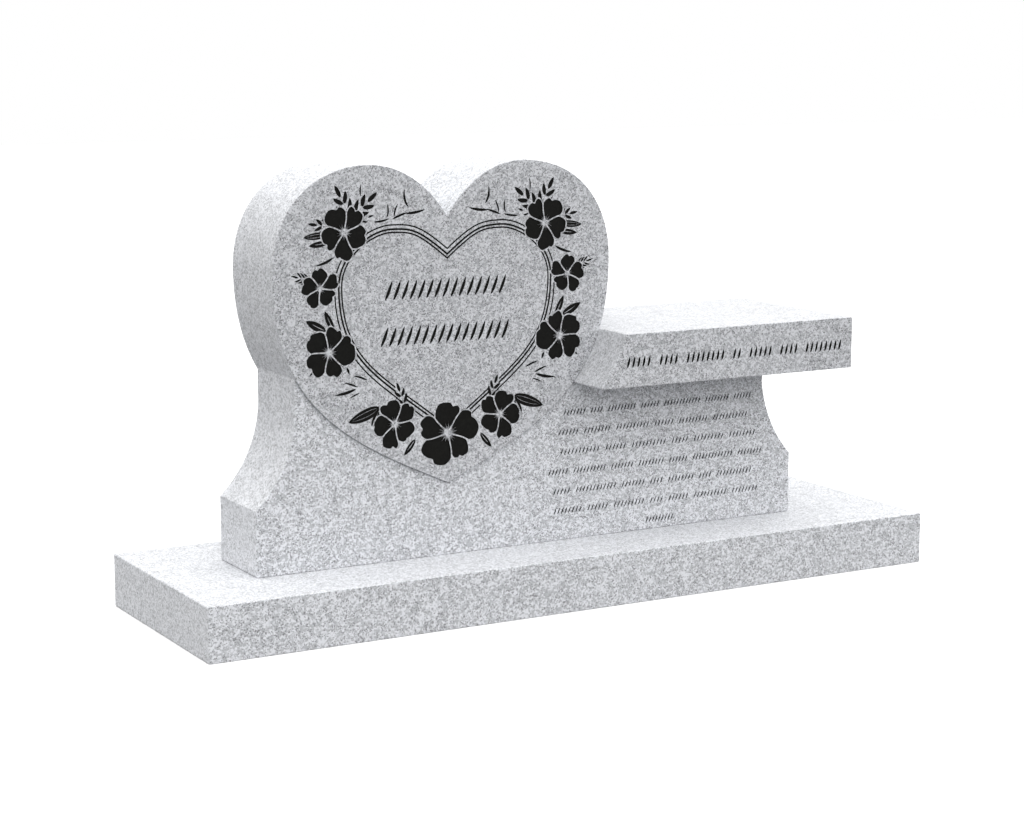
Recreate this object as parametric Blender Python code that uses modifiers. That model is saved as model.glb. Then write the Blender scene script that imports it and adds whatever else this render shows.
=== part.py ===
"""A bench headstone in granite: a heart carved in one with its pedestal, a seat slab and a base slab.

Metres, +Z up. The origin is the centre of the base slab's underside. +X runs from the heart towards
the seat, and the carved front faces -Y.
"""

import math

import bmesh
import bpy
import numpy as np

# Clearance between stones that touch, and how far a cutter stands past what it cuts.
BED_GAP = 0.0003
CUT_PAST = 0.02

# The base slab.
BASE_LENGTH = 1.528
BASE_DEPTH = 0.457
BASE_HEIGHT = 0.100

# The pedestal, foot to foot, with a hollow sweep from each foot up to the waist.
PEDESTAL_LENGTH = 1.155
PEDESTAL_THICKNESS = 0.164
PEDESTAL_SETBACK = 0.153
PEDESTAL_HEIGHT = 0.299
FOOT_HEIGHT = 0.120
HEART_FOOT_REACH = 0.078
SEAT_FOOT_REACH = 0.071
SWEEP_HEIGHT = 0.176

# The heart, proud of the pedestal front and back.
HEART_WIDTH = 0.688
HEART_HEIGHT = 0.585
HEART_CLEFT = 0.096
HEART_PROUD = 0.0055
HEART_FROM_FOOT = 0.380
HEART_TIP_RISE = 0.136

# The seat slab.
SEAT_THICKNESS = 0.100
SEAT_DEPTH = 0.368
SEAT_REACH = 0.142

# Edges and carving.
ARRIS = 0.0015
CARVING_DEPTH = 0.0018
PETAL_GAP = 0.0026
BLOSSOM_CLEAR = 0.0026
NAME_HEIGHT = 0.050
DATE_HEIGHT = 0.025
DATE_MARGIN = 0.022
VERSE_HEIGHT = 0.017
VERSE_PITCH = 0.0375
VERSE_MARGIN = 0.022
VERSE_WIDTH = 0.452

# Straight pieces in each curve of the heart, in the border's curves and in a sweep.
HEART_STEPS = 16
BORDER_STEPS = 32
BORDER_KEPT_EVERY = 4
SWEEP_STEPS = 10

# Levels and places that follow from the sizes above.
PEDESTAL_LOW = BASE_HEIGHT + BED_GAP
SHELF = PEDESTAL_LOW + PEDESTAL_HEIGHT
SEAT_LOW = SHELF + BED_GAP
HEART_FOOT_X = -BASE_LENGTH / 2 + PEDESTAL_SETBACK
SEAT_FOOT_X = HEART_FOOT_X + PEDESTAL_LENGTH
HEART_X = HEART_FOOT_X + HEART_FROM_FOOT
HEART_LOW = PEDESTAL_LOW + HEART_TIP_RISE
HEART_THICKNESS = PEDESTAL_THICKNESS + 2 * HEART_PROUD
WAIST_HEART_X = HEART_FOOT_X + HEART_FOOT_REACH
WAIST_SEAT_X = SEAT_FOOT_X - SEAT_FOOT_REACH
SEAT_END_X = WAIST_SEAT_X + SEAT_REACH

# The heart's half outline as shares of its half width and height: each row is a control point,
# from the tip, past the widest point and the top of the lobe, to the cleft.
HEART_SHAPE = (
    ((0.0, 0.0), (0.570, 0.151), (1.0, 0.273), (1.0, 0.677)),
    ((1.0, 0.677), (1.0, 0.871), (0.782, 1.0), (0.456, 1.0)),
    ((0.456, 1.0), (0.271, 1.0), (0.108, 0.936), (0.0, None)),
)

# The carved border is a smaller heart: its width, height, cleft and the height of its tip, as shares.
BORDER_WIDTH = 0.645
BORDER_HEIGHT = 0.680
BORDER_CLEFT = 0.115
BORDER_TIP = 0.140
# Each groove's distance in from the border's edge and its width, as shares of the heart's width.
GROOVES = ((0.0, 0.0032), (0.0105, 0.0040), (0.0185, 0.0034))

# Blossoms on the right half and on the middle line: place from the heart's middle line and tip, and
# radius, as shares of the heart's width and height, then the first petal's direction in degrees.
BLOSSOMS = (
    ((0.298, 0.800), 0.060, 20.0),
    ((0.368, 0.636), 0.042, 50.0),
    ((0.344, 0.438), 0.061, 0.0),
    ((0.157, 0.202), 0.051, 35.0),
)
TIP_BLOSSOM = ((0.0, 0.162), 0.077, 90.0)
PETALS = 5
# How far out a sprig starts, as a share of the blossom's radius.
SPRIG_START = 1.05
# Sprigs round the blossoms: which blossom, the sprig's direction in degrees, its length as a share
# of the blossom's radius and how many leaf pairs it has.
SPRIGS = (
    (0, 97.0, 1.10, 2),
    (0, 52.0, 0.80, 1),
    (0, 137.0, 1.05, 2),
    (0, 0.0, 0.95, 2),
    (0, -30.0, 0.55, 1),
    (1, 52.0, 0.85, 1),
    (1, -48.0, 0.60, 1),
    (2, 92.0, 0.65, 0),
    (2, 52.0, 0.95, 1),
    (2, -22.0, 0.50, 1),
    (2, -112.0, 0.65, 1),
    (3, 16.0, 1.20, 2),
    (3, -62.0, 0.50, 1),
)
# A frond that stands alone: root, direction in degrees, length as a share of the heart's width, pairs.
FRONDS = (((0.178, 0.845), 152.0, 0.125, 2),)
# A petal's rim and eye as shares of the blossom's radius: how far its corners and its notch lie in
# from the rim's circle, and the radius of the eye.
PETAL_ROUNDING = 0.13
PETAL_NOTCH = 0.07
PETAL_EYE = 0.2
# Leaf widths as shares of their lengths, and the pairs' leaves: length as a share of the sprig's,
# and how far they turn from its line in degrees.
LEAF_WIDTH = 0.34
PAIR_LEAF_WIDTH = 0.22
PAIR_LEAF_LENGTH = 0.41
PAIR_LEAF_TURN = 42.0
# Along a sprig: where its end leaf starts, where its pairs start, how far they spread and how far
# they stand off its line.
END_LEAF_START = 0.42
PAIRS_START = 0.34
PAIRS_SPREAD = 0.30
PAIRS_OFF_LINE = 0.06
# How far a stroke leans for its height, the height of the low strokes as a share of the tall ones',
# and the width of a stroke as a share of its place in each kind of row.
STROKE_SLANT = 0.35
LOW_STROKE = 0.62
NAME_STROKE = 0.4
DATE_STROKE = 0.5
VERSE_STROKE = 0.8
# The strokes in each word of the rows for writing.
NAME_ROWS = ((11,), (12,))
# Each name row's half length and level above the heart's tip, as shares of its width and height.
NAME_PLACES = ((0.185, 0.586), (0.197, 0.443))
DATE_ROW = (3, 2, 4, 1, 3, 2, 4)
VERSE_ROWS = (
    (1, 1, 2, 2, 3, 2, 1),
    (2, 1, 3, 2, 3, 1),
    (3, 1, 2, 2, 2, 2),
    (1, 3, 2, 2, 1, 3),
    (2, 3, 1, 1, 2, 2),
    (2, 1, 2, 1, 3, 2),
    (2,),
)


def bezier(controls, shares):
    """Points of a cubic curve at the given shares of its run."""
    t = np.asarray(shares)[:, None]
    a, b, c, d = np.asarray(controls, float)
    return (1 - t) ** 3 * a + 3 * (1 - t) ** 2 * t * b + 3 * (1 - t) * t**2 * c + t**3 * d


def heart_outline(width, height, cleft, grow=0.0, steps=HEART_STEPS):
    """A closed heart about x = 0 with its tip at z = 0, anticlockwise, moved outwards by grow."""
    half = []
    for row in HEART_SHAPE:
        controls = [
            (x * width / 2, height - cleft if z is None else z * height) for x, z in row
        ]
        half.append(bezier(controls, np.linspace(0, 1, steps + 1)[:-1]))
    half.append(np.array([[0.0, height - cleft]]))
    right = np.concatenate(half)
    left = right[-2:0:-1] * (-1, 1)
    points = np.concatenate([right, left])
    if not grow:
        return points
    run = np.roll(points, -1, axis=0) - np.roll(points, 1, axis=0)
    outward = np.stack([run[:, 1], -run[:, 0]], axis=1)
    return points + grow * outward / np.linalg.norm(outward, axis=1, keepdims=True)


def sweep(waist_x, foot_x):
    """The hollow end of the pedestal: an arc from the foot's top up to the waist, upright there."""
    reach = abs(foot_x - waist_x)
    radius = (reach**2 + SWEEP_HEIGHT**2) / (2 * reach)
    side = math.copysign(1, foot_x - waist_x)
    turns = np.linspace(math.asin(SWEEP_HEIGHT / radius), 0, SWEEP_STEPS + 1)
    x = waist_x + side * radius * (1 - np.cos(turns))
    z = PEDESTAL_LOW + FOOT_HEIGHT + SWEEP_HEIGHT - radius * np.sin(turns)
    return np.stack([x, z], axis=1)


def pedestal_outline():
    """The pedestal seen from the front, anticlockwise, with a block that is buried in the heart."""
    inside_heart = HEART_LOW + HEART_SHAPE[1][0][1] * HEART_HEIGHT
    seat_end = sweep(WAIST_SEAT_X, SEAT_FOOT_X)
    heart_end = sweep(WAIST_HEART_X, HEART_FOOT_X)[::-1]
    return np.concatenate(
        [
            [(HEART_FOOT_X, PEDESTAL_LOW), (SEAT_FOOT_X, PEDESTAL_LOW)],
            seat_end,
            [(WAIST_SEAT_X, SHELF), (HEART_X, SHELF)],
            [(HEART_X, inside_heart), (WAIST_HEART_X, inside_heart)],
            heart_end,
        ]
    )


def upright_plate(name, outlines, thickness, y=0.0):
    """A closed mesh object: flat outlines in X and Z, filled and made thick along Y about y."""
    curve = bpy.data.curves.new(name, "CURVE")
    curve.dimensions = "2D"
    curve.fill_mode = "BOTH"
    curve.extrude = thickness / 2
    for outline in outlines:
        spline = curve.splines.new("POLY")
        spline.points.add(len(outline) - 1)
        corners = np.zeros((len(outline), 4), np.float32)
        corners[:, :2] = outline
        corners[:, 3] = 1
        spline.points.foreach_set("co", corners.ravel())
        spline.use_cyclic_u = True
    guide = bpy.data.objects.new(name + "_outline", curve)
    bpy.context.scene.collection.objects.link(guide)
    guide.rotation_euler = (math.radians(90), 0, 0)
    guide.location = (0, y, 0)
    bpy.context.view_layer.update()
    evaluated = guide.evaluated_get(bpy.context.evaluated_depsgraph_get())
    mesh = bpy.data.meshes.new_from_object(evaluated)
    mesh.name = name
    weld(mesh)
    plate = bpy.data.objects.new(name, mesh)
    plate.matrix_world = guide.matrix_world
    bpy.data.objects.remove(guide)
    return plate


def weld(mesh):
    """Joins the caps of a filled curve to its sides."""
    shape = bmesh.new()
    shape.from_mesh(mesh)
    bmesh.ops.remove_doubles(shape, verts=shape.verts, dist=1e-6)
    bmesh.ops.recalc_face_normals(shape, faces=shape.faces)
    shape.to_mesh(mesh)
    shape.free()


def box(name, low, high):
    """A box between two corners, its size in its mesh."""
    shape = bmesh.new()
    bmesh.ops.create_cube(shape, size=1)
    size = np.subtract(high, low)
    bmesh.ops.scale(shape, vec=size, verts=shape.verts)
    mesh = bpy.data.meshes.new(name)
    shape.to_mesh(mesh)
    shape.free()
    made = bpy.data.objects.new(name, mesh)
    made.location = np.add(low, high) / 2
    return made


def soften_arris(piece):
    """A narrow chamfer along every sharp edge."""
    bevel = piece.modifiers.new("arris", "BEVEL")
    bevel.width = ARRIS
    bevel.segments = 1
    bevel.limit_method = "ANGLE"
    bevel.angle_limit = math.radians(25)


def boolean(piece, other, operation, name):
    """Joins another mesh to this piece, or cuts it away."""
    modifier = piece.modifiers.new(name, "BOOLEAN")
    modifier.operation = operation
    modifier.solver = "EXACT"
    modifier.object = other


def granite(name, colour, roughness):
    """Grey granite: plain colour and roughness."""
    material = bpy.data.materials.new(name)
    material.use_nodes = True
    shader = material.node_tree.nodes["Principled BSDF"]
    shader.inputs["Base Color"].default_value = (*colour, 1)
    shader.inputs["Roughness"].default_value = roughness
    shader.inputs["Metallic"].default_value = 0
    material.diffuse_color = (*colour, 1)
    return material


def petal(centre, radius, direction):
    """A petal: narrow at the blossom's eye, broad at its rim, with a shallow notch there."""
    turn = np.linspace(-1, 1, 7)
    at_notch = np.abs(turn) < 0.1
    reach = radius * (1 - PETAL_ROUNDING * turn**4 - PETAL_NOTCH * at_notch)
    spread = math.pi / PETALS - PETAL_GAP / 2 / reach
    angle = direction + spread * turn
    rim = np.stack([reach * np.cos(angle), reach * np.sin(angle)], axis=1)
    eye = PETAL_EYE * radius
    eye_angle = direction + (math.pi / PETALS - PETAL_GAP / 2 / eye) * np.array([1, -1])
    eye_side = eye * np.stack([np.cos(eye_angle), np.sin(eye_angle)], axis=1)
    return np.asarray(centre) + np.concatenate([rim, eye_side])


def leaf(root, length, direction, width=LEAF_WIDTH):
    """A pointed leaf: a lens on its own line, broadest a third of the way along."""
    along = length * np.array([0.0, 0.3, 0.65, 1.0, 0.65, 0.3])
    across = length * width / 2 * np.array([0.0, 0.9, 0.8, 0.0, -0.8, -0.9])
    way = np.array([math.cos(direction), math.sin(direction)])
    return np.asarray(root) + along[:, None] * way + across[:, None] * np.array([-way[1], way[0]])


def sprig(root, length, direction, pairs):
    """A leaf at the end of a sprig and smaller pairs of leaves below it."""
    way = np.array([math.cos(direction), math.sin(direction)])
    side_way = np.array([-way[1], way[0]])
    start = END_LEAF_START if pairs else 0.0
    made = [leaf(root + start * length * way, (1 - start) * length, direction)]
    for k in range(pairs):
        at = root + (PAIRS_START - PAIRS_SPREAD * k / pairs) * length * way
        for side in (-1, 1):
            spot = at + PAIRS_OFF_LINE * length * side * side_way
            turn = direction + side * math.radians(PAIR_LEAF_TURN)
            made.append(leaf(spot, PAIR_LEAF_LENGTH * length, turn, PAIR_LEAF_WIDTH))
    return made


def place(share):
    """A point of the heart's face from shares of its width and height."""
    return np.array([share[0] * HEART_WIDTH, share[1] * HEART_HEIGHT])


def blossom(centre, radius, first):
    """The petals of one blossom."""
    step = 2 * math.pi / PETALS
    return [petal(centre, radius, math.radians(first) + k * step) for k in range(PETALS)]


def border_grooves(keep_clear):
    """Thin grooves along the border's heart, broken where a blossom lies over them."""
    strips = []
    size = (BORDER_WIDTH * HEART_WIDTH, BORDER_HEIGHT * HEART_HEIGHT, BORDER_CLEFT * HEART_HEIGHT)
    base = np.array([0.0, BORDER_TIP * HEART_HEIGHT])
    for inset, groove in GROOVES:
        outer = heart_outline(*size, -inset * HEART_WIDTH, BORDER_STEPS) + base
        inner = heart_outline(*size, -(inset + groove) * HEART_WIDTH, BORDER_STEPS) + base
        clear = np.ones(len(outer), bool)
        for centre, radius in keep_clear:
            clear &= np.linalg.norm(outer - centre, axis=1) > radius + BLOSSOM_CLEAR
        strips += strips_of(outer, inner, clear)
    return strips


def strips_of(outer, inner, clear):
    """Closed strips between two outlines, one for each run of points that are clear."""
    first = int(np.argmin(clear))
    order = (np.arange(len(clear)) + first) % len(clear)
    runs = np.split(order, np.flatnonzero(~clear[order]))
    strips = []
    for run in runs:
        run = run[clear[run]]
        if len(run) <= BORDER_KEPT_EVERY:
            continue
        kept = run[(run % BORDER_KEPT_EVERY == 0) | (run == run[0]) | (run == run[-1])]
        strips.append(np.concatenate([outer[kept], inner[kept][::-1]]))
    return strips


def wreath():
    """Outlines of everything carved in the heart's face, about its middle line and tip."""
    mirrored = np.array([-1.0, 1.0])
    tip_centre = place(TIP_BLOSSOM[0])
    tip_radius = TIP_BLOSSOM[1] * HEART_WIDTH
    shapes = blossom(tip_centre, tip_radius, TIP_BLOSSOM[2])
    clear = [(tip_centre, tip_radius)]
    right = []
    for share, radius, first in BLOSSOMS:
        right += blossom(place(share), radius * HEART_WIDTH, first)
        clear.append((place(share), radius * HEART_WIDTH))
        clear.append((place(share) * mirrored, radius * HEART_WIDTH))
    for index, direction, length, pairs in SPRIGS:
        share, radius, _ = BLOSSOMS[index]
        radius *= HEART_WIDTH
        turn = math.radians(direction)
        root = place(share) + SPRIG_START * radius * np.array([math.cos(turn), math.sin(turn)])
        right += sprig(root, length * radius, turn, pairs)
    for share, direction, length, pairs in FRONDS:
        right += sprig(place(share), length * HEART_WIDTH, math.radians(direction), pairs)
    shapes += right
    shapes += [outline[::-1] * mirrored for outline in right]
    return shapes + border_grooves(clear)


def strokes(words, height, left, right, low, share):
    """One row of slanting strokes that stand for writing, from the number of strokes in each word.

    The strokes and the spaces between words share the row's length evenly, and some are taller.
    """
    cell = (right - left) / (sum(words) + len(words) - 1)
    made, at = [], left
    for count in words:
        for k in range(count):
            tall = height * (1 if (3 * k + count) % 4 == 0 else LOW_STROKE)
            x = at + k * cell
            foot = np.array([(x, low), (x + share * cell, low)])
            head = foot[::-1] + (STROKE_SLANT * tall, tall)
            made.append(np.concatenate([foot, head]))
        at += (count + 1) * cell
    return made


def name_rows():
    """Two rows inside the border, about the heart's middle line and tip."""
    made = []
    for words, (reach, level) in zip(NAME_ROWS, NAME_PLACES):
        reach *= HEART_WIDTH
        made += strokes(words, NAME_HEIGHT, -reach, reach, level * HEART_HEIGHT, NAME_STROKE)
    return made


def date_row():
    """One row along the seat's front, from the heart's side to the far end."""
    low = SEAT_LOW + (SEAT_THICKNESS - DATE_HEIGHT) / 2
    right = SEAT_END_X - DATE_MARGIN
    left = heart_side(SEAT_LOW + SEAT_THICKNESS)
    return strokes(DATE_ROW, DATE_HEIGHT, left, right, low, DATE_STROKE)


def heart_side(level):
    """Where the heart's seat-side edge is at a level."""
    outline = heart_outline(HEART_WIDTH, HEART_HEIGHT, HEART_CLEFT)
    flank = outline[: HEART_STEPS + 1]
    return HEART_X + float(np.interp(level - HEART_LOW, flank[:, 1], flank[:, 0]))


def verse_rows():
    """Rows of small strokes on the pedestal below the seat, centred, with a short last row."""
    middle = WAIST_SEAT_X - VERSE_MARGIN - VERSE_WIDTH / 2
    most = max(sum(words) + len(words) - 1 for words in VERSE_ROWS)
    made = []
    for k, words in enumerate(VERSE_ROWS):
        half = VERSE_WIDTH / 2 * (sum(words) + len(words) - 1) / most
        low = SHELF - VERSE_MARGIN - VERSE_PITCH * (k + 1)
        made += strokes(words, VERSE_HEIGHT, middle - half, middle + half, low, VERSE_STROKE)
    return made


def carver(name, outlines, face, past=CUT_PAST):
    """A cutter for shallow carving in a front face at y = face."""
    return upright_plate(name, outlines, past + CARVING_DEPTH, face + (CARVING_DEPTH - past) / 2)


def shown(collection, piece, material):
    """Puts a finished stone in the object's collection with its material."""
    piece.data.materials.clear()
    piece.data.materials.append(material)
    collection.objects.link(piece)


def hidden(collection, *pieces):
    """Puts cutters and other helpers in their own collection, out of the render."""
    for piece in pieces:
        piece.hide_render = True
        piece.display_type = "WIRE"
        collection.objects.link(piece)


def base_slab():
    """The slab that everything stands on."""
    low = (-BASE_LENGTH / 2, -BASE_DEPTH / 2, 0)
    slab = box("base_slab", low, (BASE_LENGTH / 2, BASE_DEPTH / 2, BASE_HEIGHT))
    soften_arris(slab)
    return slab


def heart_and_pedestal(cutters):
    """The heart and the pedestal, one stone, with the wreath, the names' rows and the verse's rows."""
    at_heart = np.array([HEART_X, HEART_LOW])
    outline = heart_outline(HEART_WIDTH, HEART_HEIGHT, HEART_CLEFT) + at_heart
    stone = upright_plate("heart_and_pedestal", [outline], HEART_THICKNESS)
    soften_arris(stone)
    pedestal = upright_plate("pedestal_block", [pedestal_outline()], PEDESTAL_THICKNESS)
    soften_arris(pedestal)
    face = [shape + at_heart for shape in wreath() + name_rows()]
    wreath_cutter = carver("wreath_cutter", face, -HEART_THICKNESS / 2)
    verse_cutter = carver("verse_cutter", verse_rows(), -PEDESTAL_THICKNESS / 2, HEART_PROUD + CUT_PAST)
    hidden(cutters, pedestal, wreath_cutter, verse_cutter)
    boolean(stone, pedestal, "UNION", "with_pedestal")
    boolean(stone, wreath_cutter, "DIFFERENCE", "wreath")
    boolean(stone, verse_cutter, "DIFFERENCE", "verse")
    return stone


def seat_slab(cutters):
    """The seat: a slab whose end is cut to the heart's side, with one row along its front."""
    low = (HEART_X, -SEAT_DEPTH / 2, SEAT_LOW)
    slab = box("seat_slab", low, (SEAT_END_X, SEAT_DEPTH / 2, SEAT_LOW + SEAT_THICKNESS))
    outline = heart_outline(HEART_WIDTH, HEART_HEIGHT, HEART_CLEFT, BED_GAP) + (HEART_X, HEART_LOW)
    heart_cutter = upright_plate("heart_cutter", [outline], SEAT_DEPTH + 2 * CUT_PAST)
    date_cutter = carver("date_cutter", date_row(), -SEAT_DEPTH / 2)
    hidden(cutters, heart_cutter, date_cutter)
    boolean(slab, heart_cutter, "DIFFERENCE", "heart_side")
    soften_arris(slab)
    boolean(slab, date_cutter, "DIFFERENCE", "dates")
    return slab


def build():
    """Clears the scene and makes the three stones."""
    for old in list(bpy.data.objects):
        bpy.data.objects.remove(old)
    stones = bpy.data.collections.new("bench_headstone")
    cutters = bpy.data.collections.new("cutters")
    for collection in (stones, cutters):
        bpy.context.scene.collection.children.link(collection)
    shown(stones, base_slab(), granite("base_granite", (0.50, 0.51, 0.53), 0.45))
    shown(stones, heart_and_pedestal(cutters), granite("heart_granite", (0.47, 0.48, 0.50), 0.40))
    shown(stones, seat_slab(cutters), granite("seat_granite", (0.48, 0.49, 0.51), 0.40))


build()
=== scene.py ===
"""Looks of the bench headstone: speckled grey granite, soft arrises and a carved wreath filled dark.

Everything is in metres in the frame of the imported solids. Each stone is two sheets, its front and its
back. The outlines on a face are triangulated together, each triangle takes its level from the
outlines that it lies in, and walls close the steps between the levels and between the two sheets.
"""

import itertools
import math

import bpy
import numpy as np
from mathutils.geometry import delaunay_2d_cdt
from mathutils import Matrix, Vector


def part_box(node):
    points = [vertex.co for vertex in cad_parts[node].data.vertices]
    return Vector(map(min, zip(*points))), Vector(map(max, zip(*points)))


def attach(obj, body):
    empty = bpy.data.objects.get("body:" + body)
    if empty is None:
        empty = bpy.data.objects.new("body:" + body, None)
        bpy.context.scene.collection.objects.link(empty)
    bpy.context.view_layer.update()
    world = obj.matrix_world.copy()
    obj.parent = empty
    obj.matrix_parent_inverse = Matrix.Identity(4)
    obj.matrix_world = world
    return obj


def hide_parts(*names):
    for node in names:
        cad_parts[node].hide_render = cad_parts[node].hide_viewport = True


bl_info = {
    "name": "Bench headstone",
    "version": (1, 0, 0),
    "blender": (4, 5, 0),
    "location": "3D View > Sidebar > Headstone",
    "description": "Dresses a granite bench headstone with its carving, its grain and a plain stage",
    "category": "Object",
}

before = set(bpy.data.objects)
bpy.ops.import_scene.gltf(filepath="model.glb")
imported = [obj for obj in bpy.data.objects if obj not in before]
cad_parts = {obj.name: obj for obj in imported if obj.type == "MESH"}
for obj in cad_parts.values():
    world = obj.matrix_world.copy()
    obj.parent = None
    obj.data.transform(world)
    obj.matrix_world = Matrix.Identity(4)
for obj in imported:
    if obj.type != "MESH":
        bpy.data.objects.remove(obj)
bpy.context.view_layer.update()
STONE_LOW, STONE_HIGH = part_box("heart_and_pedestal")
SEAT_LOW, SEAT_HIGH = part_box("seat_slab")
BASE_LOW, BASE_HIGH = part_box("base_slab")

# Places on the stones, as the solids have them.
HEART_TIP = np.array([-0.231, STONE_LOW[2] + 0.136])
PEDESTAL_HEIGHT = 0.299
FOOT_HEIGHT = 0.120
SWEEP_HEIGHT = 0.176
HEART_FOOT_REACH = 0.078
SEAT_FOOT_REACH = 0.071
BED_GAP = 0.0003
# The seat's curved end has no points nearer than this to its corners, so that they can be eased.
CORNER_ROOM = 0.004

# The camera: focal length on a 36 mm sensor, place, and pitch and heading in degrees.
CAMERA_LENS = 80.95
CAMERA_PLACE = (-2.1729, -3.7464, 1.0684)
CAMERA_PITCH, CAMERA_HEADING = 80.316, -29.572
FLOOR_CELLS = 8

# The curves of a heart's right side from tip to cleft: control points as shares of its half width and
# height. The last curve ends in the cleft.
STONE_CURVES = (
    ((0, 0), (0.570, 0.151), (1, 0.273), (1, 0.677)),
    ((1, 0.677), (1, 0.871), (0.782, 1), (0.456, 1)),
    ((0.456, 1), (0.271, 1), (0.108, 0.936)),
)
BORDER_CURVES = (
    ((0, 0), (0.596, 0.276), (1, 0.354), (1, 0.723)),
    ((1, 0.723), (1, 0.897), (0.684, 1), (0.497, 1)),
    ((0.497, 1), (0.307, 1), (0.240, 0.991)),
)
# Blossoms on the right half and on the middle line: place from the heart's middle line and tip, and
# radius, as shares of the heart's width and height, then the first petal's direction in degrees.
BLOSSOMS = (
    ((0.297, 0.800), 0.067, 20.0),
    ((0.367, 0.635), 0.051, 50.0),
    ((0.344, 0.438), 0.069, 0.0),
    ((0.157, 0.202), 0.063, 35.0),
)
TIP_BLOSSOM = ((0.0, 0.158), 0.086, 55.0)
PETALS = 5
# Twigs, leaves and blades on the right half, each from its root to its tip as shares of the heart's
# width and height. Then a twig has its pairs of leaflets, a leaf its width as a share of its length,
# and a blade how far it bends, in degrees.
TWIGS = (
    ((0.284, 0.855), (0.323, 0.942), 2),
    ((0.268, 0.850), (0.203, 0.916), 2),
    ((0.338, 0.818), (0.398, 0.830), 2),
    ((0.250, 0.832), (0.214, 0.848), 1),
    ((0.396, 0.660), (0.448, 0.678), 3),
    ((0.130, 0.262), (0.151, 0.330), 2),
    ((0.304, 0.418), (0.287, 0.368), 1),
    ((0.372, 0.405), (0.400, 0.372), 1),
)
LEAVES = (
    ((0.346, 0.797), (0.412, 0.790), 0.34),
    ((0.344, 0.772), (0.397, 0.764), 0.36),
    ((0.352, 0.505), (0.408, 0.540), 0.42),
    ((0.330, 0.505), (0.355, 0.566), 0.36),
    ((0.200, 0.258), (0.292, 0.219), 0.38),
    ((0.204, 0.244), (0.226, 0.203), 0.46),
    ((0.098, 0.148), (0.132, 0.100), 0.34),
)
BLADES = (
    ((0.328, 0.726), (0.382, 0.704), 26.0),
    ((0.160, 0.833), (0.114, 0.851), 12.0),
    ((0.122, 0.849), (0.064, 0.860), -22.0),
    ((0.113, 0.868), (0.122, 0.926), 55.0),
    ((0.155, 0.838), (0.142, 0.880), 30.0),
    ((0.176, 0.838), (0.176, 0.882), -45.0),
    ((0.214, 0.827), (0.168, 0.836), -20.0),
    ((0.250, 0.905), (0.247, 0.944), 25.0),
    ((0.236, 0.346), (0.277, 0.362), -14.0),
    ((0.264, 0.326), (0.304, 0.343), -14.0),
    ((0.268, 0.322), (0.332, 0.308), 22.0),
    ((0.258, 0.308), (0.289, 0.293), -10.0),
)
# The border's lines: distance in from the border's edge, and width.
BORDER_LINES = ((0.0, 0.0027), (0.0074, 0.0035), (0.0134, 0.0029))
BORDER_SHARES = (0.656, 0.672, 0.080, 0.146)
# Rows of strokes on the heart, about its middle line and tip: from, to, middle level and the strokes in
# each group.
HEART_ROWS = ((-0.127, 0.122, 0.360, (15,)), (-0.136, 0.128, 0.277, (16,)))
# Rows on the pedestal: from, to and the strokes in each group; then the first row's level and the step
# down to the next. The seat's front has one row, with its level. Last come the strokes' slopes.
PEDESTAL_ROWS = (
    (0.017, 0.448, (7, 4, 9, 6, 12, 8, 6)),
    (0.006, 0.440, (6, 8, 10, 6, 9, 11)),
    (0.010, 0.460, (11, 6, 10, 5, 9, 8)),
    (-0.016, 0.476, (6, 10, 7, 8, 6, 13, 8)),
    (-0.005, 0.452, (5, 12, 7, 4, 8, 4, 11)),
    (-0.004, 0.468, (8, 6, 9, 4, 6, 10, 8)),
    (0.203, 0.268, (9,)),
)
FIRST_ROW, ROW_PITCH = 0.3450, 0.0376
SEAT_ROW = (0.091, 0.590, 0.4470, (5, 4, 8, 2, 5, 4, 8))
SEAT_LEAN, ROW_LEAN = 0.22, 0.40

# The breadth of a stroke's blade in each kind of row, and the space between groups, in strokes.
HEART_BREADTH, PEDESTAL_BREADTH, SEAT_BREADTH = 0.0072, 0.0029, 0.0058
GROUP_SPACE = 1.4

# A petal's rim has this many points, and its inner edge these reaches as shares of its radius.
RIM_POINTS = 33
EYE = np.array([0.13, 0.26, 0.12, 0.21, 0.11, 0.33, 0.12, 0.23, 0.11, 0.35, 0.12, 0.22, 0.11, 0.28, 0.13])
# As shares of a petal's radius: the fall of its rim at the corners, the notch's depth, the rim's wave,
# and how much petals differ. Then the notch's half width and its wander, as shares of half the rim.
CORNER_FALL, NOTCH_DEPTH, WAVE, FINE_WAVE, PETAL_CHANGE = 0.26, 0.075, 0.028, 0.012, 0.07
NOTCH_WIDTH, NOTCH_WANDER = 0.13, 0.4
SIDE_POINTS = 6
# How far the lines between petals move and how far petals swirl, in radians.
UNEVEN, SWIRL = 0.14, 0.06
# The bend of leaves and strokes, in radians, and the length from which a leaf has a lens in it.
LEAF_BEND, STROKE_BEND = 0.12, 0.2
LARGE_LEAF = 0.045
# As shares of a leaf's length: where its lines start, the lens's length and the midrib's. Then the
# lens's breadth as a share of the leaf's, and a blade's breadth as a share of its length.
LINES_START, LENS_LENGTH, MIDRIB_LENGTH = 0.08, 0.82, 0.62
LENS_BREADTH, BLADE_BREADTH = 0.38, 0.15
# As shares of a twig's length: the end leaflet, a leaflet at the root and what it loses by the tip, the
# run of the pairs, and the breadth that the leaflets of one side share.
END_LEAFLET, ROOT_LEAFLET, LEAFLET_LOSS, PAIRS_RUN, PAIRS_BREADTH = 0.42, 0.46, 0.12, 0.62, 0.34
LEAFLET_SPREAD, LEAFLET_BEND = math.radians(33), 0.5

# The cells' random numbers over which the body turns to quartz and the specks to mica, and how much
# the clouds move them.
QUARTZ_SHARES, MICA_SHARES, CLOUDING = (0.30, 0.75), (0.80, 0.88), 0.5
FINISHES = ("polished_granite", "honed_granite", "steeled_granite", "carving_fill")
POLISHED, HONED, STEELED, FILLED = range(4)
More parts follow.
